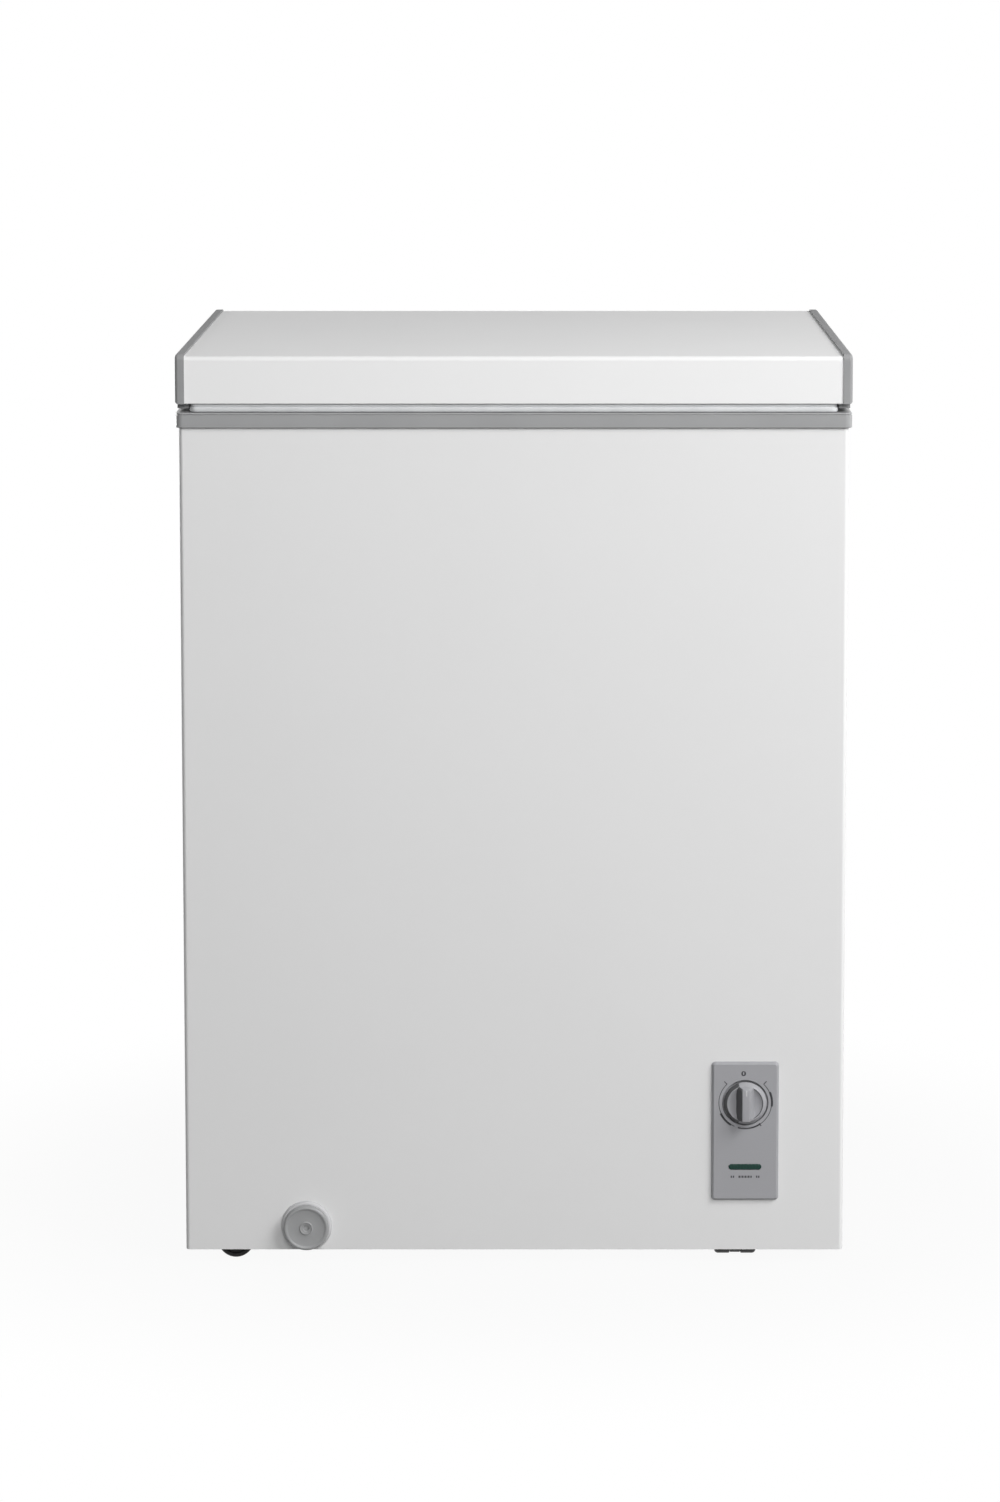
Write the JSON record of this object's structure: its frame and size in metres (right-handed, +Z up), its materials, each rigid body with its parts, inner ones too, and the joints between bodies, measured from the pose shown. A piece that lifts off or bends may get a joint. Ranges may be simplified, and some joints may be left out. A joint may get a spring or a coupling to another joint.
{
  "type": "chest freezer",
  "caption": "Upright box chest freezer with a spring-balanced lid, wire basket, front dial, front drain, rear compressor space and swivel casters.",
  "frame": {"origin": "on the floor, under the middle of the whole product", "axes": "+Z up, -Y towards the person who faces the control knob, +X to that person's right"},
  "size_m": [0.621, 0.5758, 0.855],
  "materials": {
    "white_steel": "smooth gloss enamel",
    "galvanised": "galvanised sheet",
    "foam": "rigid foam",
    "embossed_aluminium": "satin",
    "grey_plastic": "fine satin",
    "white_plastic": "smooth",
    "black_plastic": "fine texture",
    "soft_grey": "soft extrusion",
    "black_rubber": "matt",
    "copper": "drawn tube",
    "tube_aluminium": "drawn tube",
    "black_steel": "semi-gloss lacquer",
    "zinc": "zinc plate",
    "silver_plastic": "silver lacquer",
    "green_lens": "clear green",
    "wire_coat": "plastic-dipped steel wire"
  },
  "bodies": {
    "cabinet": {"outer_case": "white_steel", "back_panel": "galvanised", "base_plate": "galvanised", "compressor_tray": "galvanised", "step_panel": "galvanised", "cabinet_foam": "foam", "liner": "embossed_aluminium", "collar": "grey_plastic", "evaporator_tube": "tube_aluminium", "condenser_tube": "copper", "compressor": "black_steel", "compressor_grommets": "black_rubber", "compressor_bolts": "zinc", "starter_cover": "black_plastic", "filter_drier": "copper", "refrigerant_tubes": "copper", "rear_cover": "galvanised", "cord_gland": "black_rubber", "panel_screws": "zinc", "control_bezel": "grey_plastic", "thermostat": "black_plastic", "indicator_lens": "green_lens", "indicator_lamp": "white_plastic", "drain_pipe": "white_plastic", "drain_inlet": "white_plastic", "drain_socket": "white_plastic", "hinge_bracket_left": "zinc", "hinge_bracket_right": "zinc", "hinge_pins": "zinc", "hinge_anchor_plates": "galvanised", "hinge_spring_left": "black_steel", "hinge_spring_right": "black_steel", "caster_stems": "zinc"},
    "knob": {"thermostat_knob": "silver_plastic", "thermostat_shaft": "zinc"},
    "drain_sleeve": {"drain_sleeve": "white_plastic"},
    "drain_dial": {"drain_dial": "grey_plastic"},
    "drain_plug": {"drain_plug": "grey_plastic"},
    "plunger_left": {"hinge_plunger_left": "white_plastic"},
    "plunger_right": {"hinge_plunger_right": "white_plastic"},
    "lid": {"lid_panel": "white_steel", "lid_foam": "foam", "lid_liner": "white_plastic", "lid_cap_left": "grey_plastic", "lid_cap_right": "grey_plastic", "gasket": "soft_grey", "hinge_arm_left": "zinc", "hinge_arm_right": "zinc", "lid_screws": "zinc"},
    "basket": {"basket_floor": "wire_coat", "basket_sides": "wire_coat", "basket_ends": "wire_coat"},
    "fork_front_left": {"caster_fork_front_left": "black_plastic"},
    "fork_front_right": {"caster_fork_front_right": "black_plastic"},
    "fork_rear_left": {"caster_fork_rear_left": "black_plastic"},
    "fork_rear_right": {"caster_fork_rear_right": "black_plastic"},
    "wheels_front_left": {"caster_wheels_front_left": "black_plastic"},
    "wheels_front_right": {"caster_wheels_front_right": "black_plastic"},
    "wheels_rear_left": {"caster_wheels_rear_left": "black_plastic"},
    "wheels_rear_right": {"caster_wheels_rear_right": "black_plastic"}
  },
  "joints": [
    {"name": "lid_hinge", "type": "hinge", "parent": "cabinet", "child": "lid", "pos_m": [0, 0.27992, 0.806], "axis": [-1, 0, 0], "range_deg": [0, 80]},
    {"name": "hinge_plunger_left_slide", "type": "slide", "parent": "cabinet", "child": "plunger_left", "axis": [0, 0, 1], "range_m": [0, 0.0056], "deforming": ["hinge_spring_left"]},
    {"name": "hinge_plunger_right_slide", "type": "slide", "parent": "cabinet", "child": "plunger_right", "axis": [0, 0, 1], "range_m": [0, 0.0056], "deforming": ["hinge_spring_right"]},
    {"name": "knob_turn", "type": "hinge", "parent": "cabinet", "child": "knob", "pos_m": [0.2155, -0.28, 0.1546], "axis": [0, 1, 0], "range_deg": [0, 315]},
    {"name": "drain_pull", "type": "slide", "parent": "cabinet", "child": "drain_sleeve", "axis": [0, -1, 0], "range_m": [0, 0.02]},
    {"name": "drain_turn", "type": "hinge", "parent": "drain_sleeve", "child": "drain_dial", "pos_m": [-0.1945, -0.277, 0.036], "axis": [0, 1, 0], "range_deg": [0, 180]},
    {"name": "drain_plug_lift", "type": "slide", "parent": "cabinet", "child": "drain_plug", "axis": [0, 0, 1], "range_m": [0, 0.03]},
    {"name": "basket_slide", "type": "slide", "parent": "cabinet", "child": "basket", "axis": [1, 0, 0], "range_m": [-0.27, 0]},
    {"name": "swivel_front_left", "type": "hinge", "parent": "cabinet", "child": "fork_front_left", "pos_m": [-0.253, -0.23342, 0.04], "axis": [0, 0, 1], "continuous": true},
    {"name": "swivel_front_right", "type": "hinge", "parent": "cabinet", "child": "fork_front_right", "pos_m": [0.208, -0.22492, 0.04], "axis": [0, 0, 1], "continuous": true},
    {"name": "swivel_rear_left", "type": "hinge", "parent": "cabinet", "child": "fork_rear_left", "pos_m": [-0.253, 0.20408, 0.04], "axis": [0, 0, 1], "continuous": true},
    {"name": "swivel_rear_right", "type": "hinge", "parent": "cabinet", "child": "fork_rear_right", "pos_m": [0.208, 0.20408, 0.04], "axis": [0, 0, 1], "continuous": true},
    {"name": "roll_front_left", "type": "hinge", "parent": "fork_front_left", "child": "wheels_front_left", "pos_m": [-0.262, -0.23342, 0.017], "axis": [0, 1, 0], "continuous": true},
    {"name": "roll_front_right", "type": "hinge", "parent": "fork_front_right", "child": "wheels_front_right", "pos_m": [0.208, -0.23392, 0.017], "axis": [1, 0, 0], "continuous": true},
    {"name": "roll_rear_left", "type": "hinge", "parent": "fork_rear_left", "child": "wheels_rear_left", "pos_m": [-0.244, 0.20408, 0.017], "axis": [0, 1, 0], "continuous": true},
    {"name": "roll_rear_right", "type": "hinge", "parent": "fork_rear_right", "child": "wheels_rear_right", "pos_m": [0.208, 0.21308, 0.017], "axis": [1, 0, 0], "continuous": true}
  ],
  "couplings": [
    {"joint": "hinge_plunger_left_slide", "follows": "lid_hinge", "m_per_rad": 0.004},
    {"joint": "hinge_plunger_right_slide", "follows": "lid_hinge", "m_per_rad": 0.004}
  ]
}
